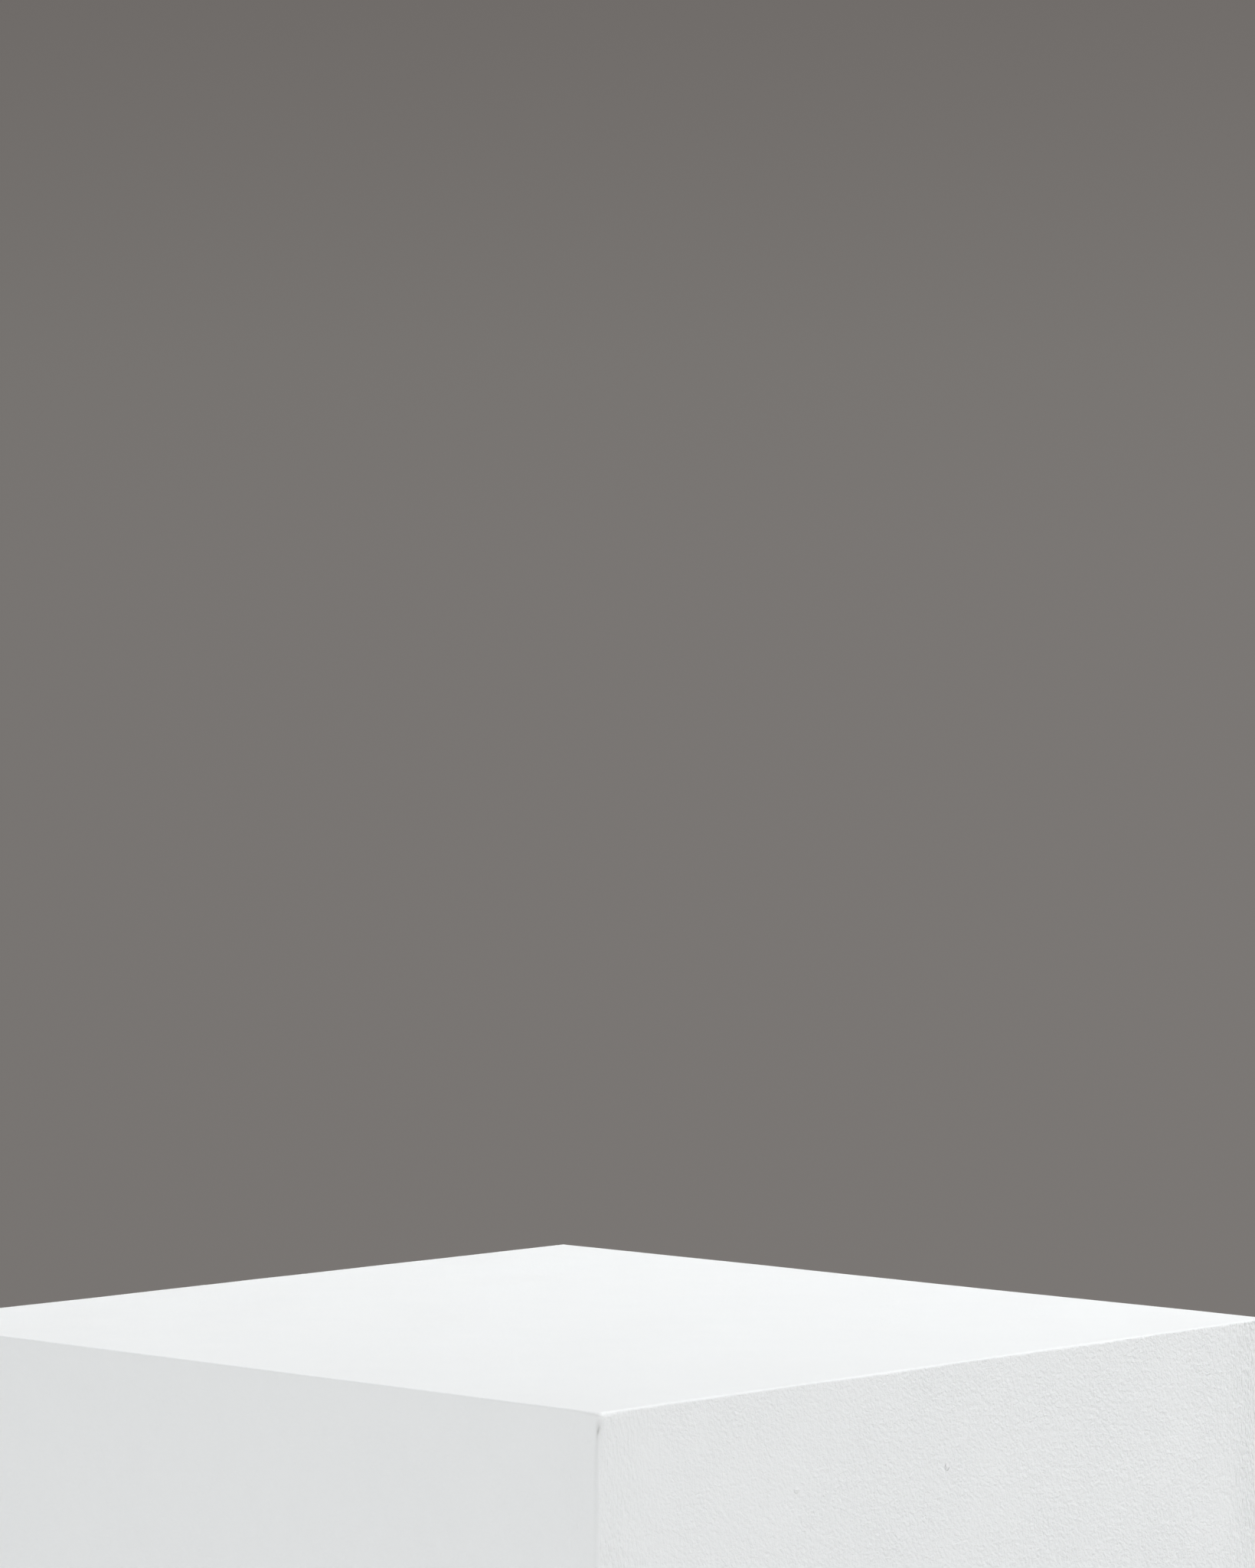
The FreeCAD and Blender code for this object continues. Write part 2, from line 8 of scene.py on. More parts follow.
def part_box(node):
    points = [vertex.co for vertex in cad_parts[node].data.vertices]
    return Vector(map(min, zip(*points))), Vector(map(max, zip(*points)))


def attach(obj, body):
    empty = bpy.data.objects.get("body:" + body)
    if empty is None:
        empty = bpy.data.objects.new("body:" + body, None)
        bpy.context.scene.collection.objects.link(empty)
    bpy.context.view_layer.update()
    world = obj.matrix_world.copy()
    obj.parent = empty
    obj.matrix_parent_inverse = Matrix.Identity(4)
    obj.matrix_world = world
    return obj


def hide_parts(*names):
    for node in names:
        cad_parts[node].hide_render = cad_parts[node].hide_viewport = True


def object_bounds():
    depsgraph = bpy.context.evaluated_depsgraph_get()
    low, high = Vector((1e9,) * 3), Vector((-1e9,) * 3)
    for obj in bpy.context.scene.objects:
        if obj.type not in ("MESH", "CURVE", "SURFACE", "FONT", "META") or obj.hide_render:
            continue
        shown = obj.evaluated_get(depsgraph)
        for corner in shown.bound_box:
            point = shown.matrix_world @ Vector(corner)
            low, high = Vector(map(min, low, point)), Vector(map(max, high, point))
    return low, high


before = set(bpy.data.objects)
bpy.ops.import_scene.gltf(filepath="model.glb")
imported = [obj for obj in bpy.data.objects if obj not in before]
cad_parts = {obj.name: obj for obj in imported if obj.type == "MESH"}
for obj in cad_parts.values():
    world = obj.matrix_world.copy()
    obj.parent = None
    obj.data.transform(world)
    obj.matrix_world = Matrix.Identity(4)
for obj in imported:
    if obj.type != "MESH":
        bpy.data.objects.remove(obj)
cad_low, cad_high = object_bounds()

# ---- sizes, in metres ---------------------------------------------------------------------------

MM = 0.001
TOP_LEVEL = cad_high.z
SKIRT_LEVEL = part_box("front_panel")[0].z
HALF_WIDTH = cad_high.x
HALF_DEPTH = cad_high.y
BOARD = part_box("top_panel")[1].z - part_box("top_panel")[0].z

ARRIS_RADIUS = 0.8 * MM         # the sanded edge all round
ARRIS_LEAST = 0.5 * MM
ARRIS_WANDER = 0.12             # how much its radius varies, as a share
CORNER_RADIUS = 2.4 * MM        # the blunter knock at the near top corner
CORNER_REACH = 9 * MM
BOARD_WAVE = 0.035 * MM         # the board's long unevenness
FILLER_WAVE = 0.012 * MM        # the filler's shorter one
FINE_STEP = 0.2 * MM            # mesh spacing at an arris
FACE_STEP = 3.2 * MM            # and in the middle of a face
STEP_GROWTH = 0.16              # growth of the spacing with distance from the arris

# ---- camera: the near corner in the middle, from just above the top ------------------------------

CAMERA_PLACE = Vector((-1.8916, -1.7946, 1.3152))
CAMERA_HEADING = math.radians(43.072)     # from +X towards +Y
CAMERA_PITCH = math.radians(-2.1065)
CAMERA_ROLL = math.radians(0.126)
CAMERA_LENS = 146.83            # lens and sensor in millimetres
SENSOR_LONG_SIDE = 36
FAR_CLIP = 50


def make_camera():
    data = bpy.data.cameras.new("camera")
    data.sensor_width = SENSOR_LONG_SIDE
    data.lens = CAMERA_LENS
    data.clip_end = FAR_CLIP
    camera = bpy.data.objects.new("camera", data)
    bpy.context.scene.collection.objects.link(camera)
    level = math.cos(CAMERA_PITCH)
    forward = Vector((math.cos(CAMERA_HEADING) * level, math.sin(CAMERA_HEADING) * level,
                      math.sin(CAMERA_PITCH)))
    right = forward.cross(Vector((0, 0, 1))).normalized()
    up = right.cross(forward)
    axes = Matrix((right, up, -forward)).transposed()
    turned = axes @ Matrix.Rotation(CAMERA_ROLL, 3, "Z")
    camera.matrix_world = Matrix.Translation(CAMERA_PLACE) @ turned.to_4x4()
    bpy.context.scene.camera = camera


# ---- materials ----------------------------------------------------------------------------------

class Recipe:
    """A material being built: one Principled shader and the nodes that drive it."""

    def __init__(self, name, **sockets):
        self.material = bpy.data.materials.new(name)
        self.material.use_nodes = True
        self.tree = self.material.node_tree
        self.tree.nodes.clear()
        output = self.tree.nodes.new("ShaderNodeOutputMaterial")
        self.shader = self.tree.nodes.new("ShaderNodeBsdfPrincipled")
        self.tree.links.new(self.shader.outputs["BSDF"], output.inputs["Surface"])
        self.place = self.tree.nodes.new("ShaderNodeTexCoord").outputs["Object"]
        for socket, value in sockets.items():
            self.drive(socket.replace("_", " "), value)

    def node(self, kind, inputs=None, **settings):
        node = self.tree.nodes.new(f"ShaderNode{kind}")
        for setting, value in settings.items():
            setattr(node, setting, value)
        for key, value in (inputs or {}).items():
            self.feed(node.inputs[key], value)
        return node

    def feed(self, socket, value):
        if isinstance(value, bpy.types.NodeSocket):
            self.tree.links.new(value, socket)
        else:
            socket.default_value = value

    def drive(self, socket, value):
        self.feed(self.shader.inputs[socket], value)

    def stretched(self, stretch=(1, 1, 1), turn=(0, 0, 0), shift=(0, 0, 0)):
        """Object coordinates, turned, in which patterns are longer along the stretched axes."""
        mapping = self.node("Mapping", {
            "Vector": self.place, "Location": shift, "Scale": stretch,
            "Rotation": [math.radians(angle) for angle in turn],
        }, vector_type="TEXTURE")
        return mapping.outputs["Vector"]

    def noise(self, vector, size, detail=2.0, roughness=0.5, distortion=0.0):
        """Fractal noise whose features are about size metres across."""
        noise = self.node("TexNoise", {
            "Vector": vector, "Scale": 1 / size, "Detail": detail,
            "Roughness": roughness, "Distortion": distortion,
        })
        return noise.outputs["Fac"]

    def math(self, operation, first, second=0.0, clamp=False):
        node = self.node("Math", {0: first, 1: second}, operation=operation, use_clamp=clamp)
        return node.outputs[0]

    def levels(self, value, low, high, out_low=0.0, out_high=1.0):
        node = self.node("MapRange", {
            "Value": value, "From Min": low, "From Max": high,
            "To Min": out_low, "To Max": out_high,
        })
        return node.outputs["Result"]

    def ramp(self, value, stops):
        node = self.node("ValToRGB", {"Fac": value})
        elements = node.color_ramp.elements
        while len(elements) < len(stops):
            elements.new(0.5)
        for element, (position, colour) in zip(elements, stops):
            element.position = position
            element.color = (*colour, 1)
        return node.outputs["Color"]

    def mix(self, factor, first, second):
        node = self.node("Mix", {0: factor}, data_type="RGBA")
        for socket, value in ((node.inputs[6], first), (node.inputs[7], second)):
            self.feed(socket, value if isinstance(value, bpy.types.NodeSocket) else (*value, 1))
        return node.outputs[2]

    def bump(self, height, distance, under=None):
        inputs = {"Height": height, "Distance": distance}
        if under is not None:
            inputs["Normal"] = under
        return self.node("Bump", inputs).outputs["Normal"]


PAINT = (0.846, 0.872, 0.884)
PAINT_SHADE = (0.834, 0.861, 0.874)
# Painted shade: darkens the paint along the near mitre's soft line; the same grey colours the chip,
# a real mark.
MITRE_SHADE_AND_CHIP_COLOUR = (0.46, 0.47, 0.47)
STIPPLE_GRAIN = 1.3 * MM
STIPPLE_DEPTH = 0.80 * MM
STIPPLE_STRETCH = 1.18
BRUSHED_MARGIN = 26 * MM        # painted with a brush along the upright arrises, rolled between
BRUSH_GRAIN = 1.2 * MM
BRUSH_STRETCH = 2.2
BRUSH_GAIN = 2.5                # how much stronger the brush's strokes are than the roller's
BRUSH_SHARE = 0.65              # how far the strokes take over at the arris
PATCH_SIZE = 34 * MM            # thicker and thinner patches of paint
FILM_SIZE = 9 * MM
FILM_DEPTH = 0.12 * MM
SAG_SPACING = 1.6 * MM
SAG_DEPTH = 0.05 * MM


def painted_board(name, seed, relief, lean, brushed_axis=None, growth=0.0, nibs=(), sags=()):
    """Matt white emulsion with a roller's stipple.

    relief scales the stipple, lean tilts its strokes from upright, growth is how much deeper it
    gets towards +X and +Y. brushed_axis is the one that runs between the panel's two brushed
    arrises. Nibs are (place, radius, height) grains under the paint. Sags are (place, radius)
    curved lap marks.
    """
    recipe = Recipe(name, Specular_IOR_Level=0.35)
    shift = (seed * 0.37, seed * 0.53, seed * 0.29)
    moved = recipe.stretched(shift=shift)
    leaning = recipe.stretched((1, 1, STIPPLE_STRETCH), lean, shift)
    stipple = recipe.noise(leaning, STIPPLE_GRAIN, 2.5, 0.55, 0.35)
    patches = recipe.noise(moved, PATCH_SIZE, 3.0, 0.6)
    if brushed_axis is not None:
        drawn_out = recipe.stretched((1, 1, BRUSH_STRETCH), shift=(seed, 0, 0))
        strokes = recipe.noise(drawn_out, BRUSH_GRAIN, 2.5, 0.55, 0.3)
        across = recipe.node("SeparateXYZ", {"Vector": recipe.place}).outputs[brushed_axis]
        edge = recipe.math("SUBTRACT", HALF_WIDTH, recipe.math("ABSOLUTE", across))
        brushed = recipe.levels(edge, 0.5 * BRUSHED_MARGIN, 1.6 * BRUSHED_MARGIN, BRUSH_SHARE, 0.0)
        strokes = recipe.math("MULTIPLY", strokes, BRUSH_GAIN)
        stipple = recipe.node("Mix", {0: brushed, 2: stipple, 3: strokes}).outputs[0]
    slope = recipe.node("VectorMath", {0: recipe.place, 1: (1, 1, 0)}, operation="DOT_PRODUCT")
    deepening = recipe.math("MULTIPLY_ADD", slope.outputs["Value"], growth / (2 * HALF_WIDTH))
    deepening.node.inputs[2].default_value = 1.0
    depth = recipe.math("MULTIPLY", recipe.levels(patches, 0.35, 0.65, 0.82, 1.12), deepening)
    normal = recipe.bump(recipe.math("MULTIPLY", stipple, depth), STIPPLE_DEPTH * relief)
    film = recipe.noise(moved, FILM_SIZE)
    normal = recipe.bump(film, FILM_DEPTH, under=normal)
    for place, radius, height in nibs:
        away = recipe.node("VectorMath", {0: recipe.place, 1: place}, operation="DISTANCE")
        dome = recipe.levels(away.outputs["Value"], 0.0, radius, 1.0, 0.0)
        normal = recipe.bump(recipe.math("POWER", dome, 0.6, clamp=True), height, under=normal)
    for place, radius in sags:
        away = recipe.node("VectorMath", {0: recipe.place, 1: place}, operation="DISTANCE")
        ripple = recipe.math("PINGPONG", away.outputs["Value"], SAG_SPACING)
        fading = recipe.levels(away.outputs["Value"], radius, 1.9 * radius, 1.0, 0.0)
        ring = recipe.math("MULTIPLY", recipe.math("DIVIDE", ripple, SAG_SPACING), fading)
        normal = recipe.bump(ring, SAG_DEPTH, under=normal)
    recipe.drive("Normal", normal)
    # Painted shade along the near mitre's line, together with the real chip, read from the mesh's
    # per-point values and mixed into the paint's colour.
    mitre_shade_and_chip = recipe.node("Attribute", attribute_name="mitre_shade_and_chip").outputs["Fac"]
    colour = recipe.mix(recipe.levels(patches, 0.3, 0.7), PAINT, PAINT_SHADE)
    recipe.drive("Base Color", recipe.mix(mitre_shade_and_chip, colour, MITRE_SHADE_AND_CHIP_COLOUR))
    recipe.drive("Roughness", recipe.levels(patches, 0.3, 0.7, 0.56, 0.68))
    return recipe.material


def raw_fibreboard():
    """The unpainted inside of the panels: brown, with short fibres."""
    recipe = Recipe("raw_fibreboard", Roughness=0.8, Specular_IOR_Level=0.25)
    fibres = recipe.noise(recipe.stretched((3, 3, 1), (0, 0, 30)), 1.2 * MM, 6.0, 0.7, 0.4)
    tone = recipe.noise(recipe.place, 60 * MM, 3.0)
    colour = recipe.ramp(fibres, [(0.3, (0.20, 0.115, 0.058)), (0.52, (0.33, 0.205, 0.115)),
                                  (0.72, (0.44, 0.30, 0.18))])
    colour = recipe.mix(recipe.levels(tone, 0.3, 0.7, 0.0, 0.35), colour, (0.25, 0.155, 0.085))
    recipe.drive("Base Color", colour)
    recipe.drive("Normal", recipe.bump(fibres, 0.12 * MM))
    return recipe.material


GRAIN_STRETCH = 16.0
GROWTH_LINES = 11.0


def planed_pine(name, axis, seed):
    """Softwood whose grain runs along one axis, with growth lines and pores."""
    along = [GRAIN_STRETCH if index == axis else 1.0 for index in range(3)]
    shift = (0.11 * seed, 0.17 * seed, 0.23 * seed)
    recipe = Recipe(name, Specular_IOR_Level=0.3)
    flow = recipe.stretched(along, shift=shift)
    waver = recipe.noise(flow, 14 * MM, 2.0, 0.5, 0.3)
    rings = recipe.math("FRACT", recipe.math("MULTIPLY", waver, GROWTH_LINES))
    line = recipe.ramp(rings, [(0.0, (0.66, 0.47, 0.27)), (0.62, (0.60, 0.40, 0.21)),
                               (0.86, (0.40, 0.22, 0.095)), (0.97, (0.62, 0.43, 0.24))])
    fine_flow = recipe.stretched([stretch * 3 for stretch in along], shift=shift)
    pores = recipe.noise(fine_flow, 0.5 * MM, 3.0)
    colour = recipe.mix(recipe.levels(pores, 0.40, 0.62, 0.3, 0.0), line, (0.36, 0.20, 0.09))
    recipe.drive("Base Color", colour)
    recipe.drive("Roughness", recipe.levels(rings, 0.0, 1.0, 0.62, 0.5))
    normal = recipe.bump(pores, 0.05 * MM)
    recipe.drive("Normal", recipe.bump(rings, 0.03 * MM, under=normal))
    return recipe.material


PLIES = 13


def birch_plywood():
    """Face veneer above and below, and the plies in the board's edges."""
    recipe = Recipe("birch_plywood", Specular_IOR_Level=0.3)
    low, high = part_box("base_board")
    height = recipe.node("SeparateXYZ", {"Vector": recipe.place}).outputs["Z"]
    above = recipe.math("SUBTRACT", height, low.z)
    layer = recipe.math("MULTIPLY", above, PLIES / (high.z - low.z))
    alternate = recipe.math("PINGPONG", layer, 1.0)
    veneer = recipe.noise(recipe.stretched((1, 12, 1)), 11 * MM, 4.0, 0.55, 0.6)
    flecks = recipe.noise(recipe.stretched((1, 9, 1)), 1.1 * MM, 3.0)
    face = recipe.ramp(veneer, [(0.28, (0.50, 0.345, 0.19)), (0.5, (0.63, 0.455, 0.27)),
                                (0.7, (0.70, 0.53, 0.335))])
    face = recipe.mix(recipe.levels(flecks, 0.42, 0.6, 0.28, 0.0), face, (0.42, 0.27, 0.14))
    edge = recipe.ramp(alternate, [(0.18, (0.24, 0.13, 0.06)), (0.34, (0.60, 0.43, 0.25)),
                                   (0.8, (0.52, 0.35, 0.19))])
    facing = recipe.node("SeparateXYZ", {
        "Vector": recipe.node("NewGeometry").outputs["True Normal"]}).outputs["Z"]
    flat = recipe.math("GREATER_THAN", recipe.math("ABSOLUTE", facing), 0.5)
    recipe.drive("Base Color", recipe.mix(flat, edge, face))
    recipe.drive("Roughness", recipe.levels(veneer, 0.3, 0.7, 0.58, 0.7))
    recipe.drive("Normal", recipe.bump(flecks, 0.06 * MM))
    return recipe.material


def pressed_beech():
    """Compressed beech: short rays across the biscuit's slanting grain."""
    recipe = Recipe("pressed_beech", Specular_IOR_Level=0.3)
    rays = recipe.noise(recipe.stretched((1, 1, 7), (0, 0, 45)), 0.8 * MM, 4.0, 0.6)
    colour = recipe.ramp(rays, [(0.34, (0.36, 0.20, 0.10)), (0.55, (0.56, 0.37, 0.215))])
    recipe.drive("Base Color", colour)
    recipe.drive("Roughness", recipe.levels(rays, 0.3, 0.7, 0.75, 0.6))
    recipe.drive("Normal", recipe.bump(rays, 0.08 * MM))
    return recipe.material


def zinc_plate():
    """Bright zinc with a faint blue and straw bloom, and fine turning marks."""
    recipe = Recipe("zinc_plate", Metallic=1.0)
    bloom = recipe.noise(recipe.place, 7 * MM, 3.0, 0.6, 0.8)
    marks = recipe.noise(recipe.stretched((9, 9, 1)), 0.22 * MM, 2.0)
    colour = recipe.ramp(bloom, [(0.34, (0.60, 0.64, 0.69)), (0.52, (0.71, 0.715, 0.71)),
                                 (0.68, (0.73, 0.70, 0.60))])
    recipe.drive("Base Color", colour)
    recipe.drive("Roughness", recipe.levels(bloom, 0.3, 0.7, 0.24, 0.42))
    recipe.drive("Normal", recipe.bump(marks, 0.015 * MM))
    return recipe.material


def black_nylon():
    """Moulded nylon: a fine spark-eroded grain, scuffed paler where it rubs."""
    recipe = Recipe("black_nylon", Specular_IOR_Level=0.5)
    grain = recipe.noise(recipe.place, 0.45 * MM, 3.0, 0.6)
    scuff = recipe.noise(recipe.stretched((1, 5, 1), (0, 0, 35)), 3 * MM, 5.0, 0.65)
    colour = recipe.mix(recipe.levels(scuff, 0.55, 0.75, 0.0, 0.5), (0.017, 0.017, 0.019),
                        (0.075, 0.074, 0.072))
    recipe.drive("Base Color", colour)
    recipe.drive("Roughness", recipe.levels(grain, 0.3, 0.7, 0.36, 0.55))
    recipe.drive("Normal", recipe.bump(grain, 0.04 * MM))
    return recipe.material


# ---- painted panels -----------------------------------------------------------------------------

def waves(points, seed, count, shortest, longest):
    """Smooth noise of about unit size: plane waves in seeded directions, summed at the points."""
    draw = np.random.default_rng(seed)
    total = np.zeros(len(points))
    for _ in range(count):
        direction = draw.normal(size=3)
        direction /= np.linalg.norm(direction)
        length = shortest * (longest / shortest) ** draw.random()
        phase = draw.random() * 2 * math.pi
        total += np.sin(points @ direction * (2 * math.pi / length) + phase)
    return total / math.sqrt(count / 2)


def arris_radius(points):
    """How round the box is near each point: a wandering sanded edge, blunter at the near corner."""
    wander = 1 + ARRIS_WANDER * waves(points, 11, 10, 14 * MM, 90 * MM)
    corner = np.array([-HALF_WIDTH, -HALF_DEPTH, TOP_LEVEL])
    away = np.linalg.norm(points - corner, axis=1) / CORNER_REACH
    knock = np.exp(-away**2)
    sanded = np.clip(ARRIS_RADIUS * wander, ARRIS_LEAST, None)
    return sanded * (1 - knock) + CORNER_RADIUS * knock


def rounded(points):
    """Sharp-box points moved onto the box with rounded arrises, and the outward normals there."""
    radius = arris_radius(points)
    limits = np.array([HALF_WIDTH, HALF_DEPTH, TOP_LEVEL])
    low = np.stack([radius - limits[0], radius - limits[1], np.full(len(points), -1.0)], axis=1)
    high = np.stack([limits[0] - radius, limits[1] - radius, limits[2] - radius], axis=1)
    core = np.clip(points, low, high)
    outward = points - core
    outward /= np.linalg.norm(outward, axis=1)[:, None]
    return core + outward * radius[:, None], outward


def weathered(points):
    """The painted skin: rounded arrises, and the board's and the filler's slight unevenness."""
    skin, outward = rounded(points)
    lift = BOARD_WAVE * waves(skin, 5, 16, 55 * MM, 260 * MM)
    lift += FILLER_WAVE * waves(skin, 6, 20, 12 * MM, 40 * MM)
    return skin + outward * lift[:, None]


def spaced(low, high, fine_low=True):
    """Stations from low to high, close together at an arris; only the high end always is one."""
    stations = [low]
    while stations[-1] < high:
        here = stations[-1]
        from_arris = min(here - low, high - here) if fine_low else high - here
        stations.append(here + min(FACE_STEP, FINE_STEP + STEP_GROWTH * from_arris))
    scale = (high - low) / (stations[-1] - low)
    return np.array([low + (value - low) * scale for value in stations])


def grid_faces(columns, rows):
    """Quads of a grid of points stored row by row."""
    across, up = np.meshgrid(np.arange(columns - 1), np.arange(rows - 1))
    corner = (up * columns + across).ravel()
    return np.stack([corner, corner + 1, corner + 1 + columns, corner + columns], axis=1).tolist()


def build_mesh(name, points, faces, materials, material_of_face, mitre_shade_and_chip):
    mesh = bpy.data.meshes.new(name)
    mesh.from_pydata([tuple(point) for point in points], [], faces)
    for material in materials:
        mesh.materials.append(material)
    mesh.polygons.foreach_set("material_index", material_of_face)
    # Per-point darkening of the paint: painted shade along the near mitre's line, and the real
    # chip.
    attribute = mesh.attributes.new("mitre_shade_and_chip", "FLOAT", "POINT")
    attribute.data.foreach_set("value", mitre_shade_and_chip.astype(np.float32))
    mesh.validate()
    mesh.update()
    piece = bpy.data.objects.new(name, mesh)
    bpy.context.scene.collection.objects.link(piece)
    return piece


def smooth_skin(piece, skin_faces):
    """Smooth shading on the painted skin only; the sawn faces behind it stay flat."""
    shading = np.zeros(len(piece.data.polygons), dtype=bool)
    shading[:skin_faces] = True
    piece.data.polygons.foreach_set("use_smooth", shading)
    edges = piece.data.edges
    sharp = np.zeros(len(edges), dtype=bool)
    owners = {}
    for polygon in piece.data.polygons:
        for key in polygon.edge_keys:
            owners.setdefault(key, []).append(polygon.index < skin_faces)
    for edge in edges:
        sides = owners[edge.key]
        sharp[edge.index] = len(sides) == 2 and sides[0] != sides[1]
    attribute = piece.data.attributes.new("sharp_edge", "BOOLEAN", "EDGE")
    attribute.data.foreach_set("value", sharp)


# Painted shade: the line along the near mitre is darkened in colour, standing in for the shade of
# its slight relief.
MITRE_LINE_START = 0.5 * MM          # distance from the arris at the top
MITRE_LINE_DRIFT = 1.8 * MM          # how much further off it is lower down
MITRE_LINE_WIDTH = 0.85 * MM
MITRE_SHADE_TOP = 0.42          # added strength of the painted shade at the top, fading over MITRE_SHADE_FADE
MITRE_SHADE_ALONG = 0.085
MITRE_SHADE_FADE = 7 * MM
CHIP_BELOW_TOP = 6.8 * MM
CHIP_OFF_ARRIS = 0.9 * MM
CHIP_HALF_WIDTH = 0.34 * MM
CHIP_HALF_HEIGHT = 1.5 * MM
CHIP_LEAN = 0.16
CHIP_SHADE = 0.75


def painted_mitre_shade_and_chip(points):
    """Painted shade along the soft line where the near mitre shows through the paint, and a chip
    near its top, a real dark mark.
    """
    below = TOP_LEVEL - points[:, 2]
    drift = MITRE_LINE_START + MITRE_LINE_DRIFT * (1 - np.exp(-below / (22 * MM)))
    drift += 0.10 * MM * np.sin(below / (9 * MM)) + 0.07 * MM * np.sin(below / (3.1 * MM) + 1)
    from_corner = points[:, 1] + HALF_DEPTH
    on_left_face = points[:, 0] < -HALF_WIDTH + CORNER_RADIUS + 0.1 * MM
    line = np.exp(-(((from_corner - drift) / MITRE_LINE_WIDTH) ** 2)) * on_left_face
    strength = MITRE_SHADE_ALONG + 0.015 * np.sin(below / (13 * MM) + 0.6)
    strength += MITRE_SHADE_TOP * np.exp(-below / MITRE_SHADE_FADE)
    strength *= np.clip(below / (3 * MM) - 0.6, 0, 1) * np.clip(1.4 - below / (300 * MM), 0.3, 1)
    down = below - CHIP_BELOW_TOP
    off = from_corner - CHIP_OFF_ARRIS - CHIP_LEAN * down
    chip = np.exp(-((off / CHIP_HALF_WIDTH) ** 2 + (down / CHIP_HALF_HEIGHT) ** 2))
    return np.clip(line * strength + CHIP_SHADE * chip * on_left_face, 0, 1)


def side_panel(side, quarter_turns, paint, bare):
    """One mitred upright panel, drawn as the front and turned about +Z."""
    span, reach = (HALF_WIDTH, HALF_DEPTH) if quarter_turns % 2 == 0 else (HALF_DEPTH, HALF_WIDTH)
    across = spaced(-span, span)
    up = spaced(SKIRT_LEVEL, TOP_LEVEL, fine_low=False)
    columns, rows = len(across), len(up)
    x, z = np.meshgrid(across, up)
    sharp = np.stack([x.ravel(), np.full(x.size, -reach), z.ravel()], axis=1)
    turn = np.array(Matrix.Rotation(quarter_turns * math.pi / 2, 3, "Z"))
    skin = weathered(sharp @ turn.T) @ turn
    inner_span, inner_face, ceiling = span - BOARD, -reach + BOARD, TOP_LEVEL - BOARD
    inside_share = (ceiling - SKIRT_LEVEL) / (TOP_LEVEL - SKIRT_LEVEL)
    inside_up = SKIRT_LEVEL + (up - SKIRT_LEVEL) * inside_share
    inside = [(sign * inner_span, inner_face, level) for sign in (-1, 1) for level in inside_up]
    points = np.concatenate([skin, np.array(inside)])
    faces = grid_faces(columns, rows)
    skin_faces = len(faces)
    left = len(skin)
    right = left + rows
    for row in range(rows - 1):
        outer_left, outer_right = row * columns, row * columns + columns - 1
        faces.append([outer_left, outer_left + columns, left + row + 1, left + row])
        faces.append([outer_right + columns, outer_right, right + row, right + row + 1])
        faces.append([left + row, left + row + 1, right + row + 1, right + row])
    top_row = [(rows - 1) * columns + column for column in range(columns)]
    faces.append(top_row + [right + rows - 1, left + rows - 1])
    faces.append(list(range(columns))[::-1] + [left, right])
    world = points @ turn.T
    material_of_face = [0] * skin_faces + [1] * (len(faces) - skin_faces)
    # Painted shade of the near mitre's line, with the real chip, kept per point for the paint's
    # colour.
    mitre_shade_and_chip = painted_mitre_shade_and_chip(world)
    piece = build_mesh(f"{side}_board", world, faces, [paint, bare], material_of_face, mitre_shade_and_chip)
    smooth_skin(piece, skin_faces)
    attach(piece, "root")
    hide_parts(f"{side}_panel")


def top_panel(paint, bare):
    """The mitred top: a skin, a sloping face under each edge and a flat underside."""
    across = spaced(-HALF_WIDTH, HALF_WIDTH)
    along = spaced(-HALF_DEPTH, HALF_DEPTH)
    columns, rows = len(across), len(along)
    x, y = np.meshgrid(across, along)
    sharp = np.stack([x.ravel(), y.ravel(), np.full(x.size, TOP_LEVEL)], axis=1)
    skin = weathered(sharp)
    inner = [(sx * (HALF_WIDTH - BOARD), sy * (HALF_DEPTH - BOARD), TOP_LEVEL - BOARD)
             for sx, sy in ((-1, -1), (1, -1), (1, 1), (-1, 1))]
    points = np.concatenate([skin, np.array(inner)])
    faces = grid_faces(columns, rows)
    skin_faces = len(faces)
    corners = [len(skin) + index for index in range(4)]
    last = (rows - 1) * columns
    front = list(range(columns))
    right = [row * columns + columns - 1 for row in range(rows)]
    back = [last + column for column in range(columns)][::-1]
    left = [row * columns for row in range(rows)][::-1]
    for index, rim in enumerate((front, right, back, left)):
        faces.append(rim[::-1] + [corners[index], corners[(index + 1) % 4]])
    faces.append(corners[::-1])
    material_of_face = [0] * skin_faces + [1] * (len(faces) - skin_faces)
    piece = build_mesh("top_board", points, faces, [paint, bare], material_of_face,
                       np.zeros(len(points)))
    smooth_skin(piece, skin_faces)
    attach(piece, "root")
    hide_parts("top_panel")


# ---- threaded foot studs ------------------------------------------------------------------------

STUD_RADIUS = 5 * MM
SPIGOT_RADIUS = 4 * MM
STUD_BREAK = 1 * MM             # chamfer at the stud's upper end
SPIGOT_BREAK = 0.3 * MM
COLLAR_FLATS = 17 * MM
COLLAR_HEIGHT = 6 * MM
COLLAR_ABOVE_SEAT = 5.5 * MM
THREAD_PITCH = 1.5 * MM
THREAD_DEPTH = 0.85 * MM
THREAD_ROWS_PER_PITCH = 8
CREST_SHARE = 0.15              # flat crest and flat root, as shares of half a pitch
SOFT_EDGE = math.radians(28)    # folds flatter than this are shaded smooth
RING_POINTS = 48                # a multiple of twelve, so that the collar's corners are on it
COLLAR_CHAMFER = ((0.0, 8.35 * MM), (0.4 * MM, 9.1 * MM), (0.8 * MM, 10 * MM))   # (in, reach)


